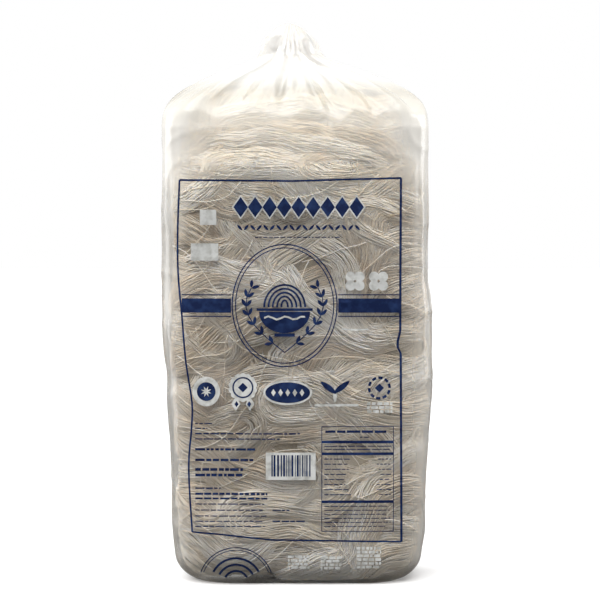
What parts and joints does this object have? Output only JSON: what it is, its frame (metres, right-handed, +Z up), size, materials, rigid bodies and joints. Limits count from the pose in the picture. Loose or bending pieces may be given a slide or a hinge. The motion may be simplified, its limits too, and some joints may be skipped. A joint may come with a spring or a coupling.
{
  "type": "sealed clear pack of dried rice vermicelli",
  "caption": "Upright clear film pack of dried rice vermicelli: a block of fine noodles, gathered film top with a topknot, plain navy print.",
  "frame": {"origin": "on the ground, at the middle of the pack's box", "axes": "+Z up, towards the topknot; the printed front faces -Y; +X is to the right as the front is seen"},
  "size_m": [0.2662, 0.1356, 0.543],
  "materials": {
    "clear_film": "gloss",
    "rice_noodle": "matt",
    "navy_print": "satin",
    "white_print": "satin"
  },
  "bodies": {
    "root": {"vermicelli_pack": "clear_film"}
  },
  "joints": []
}
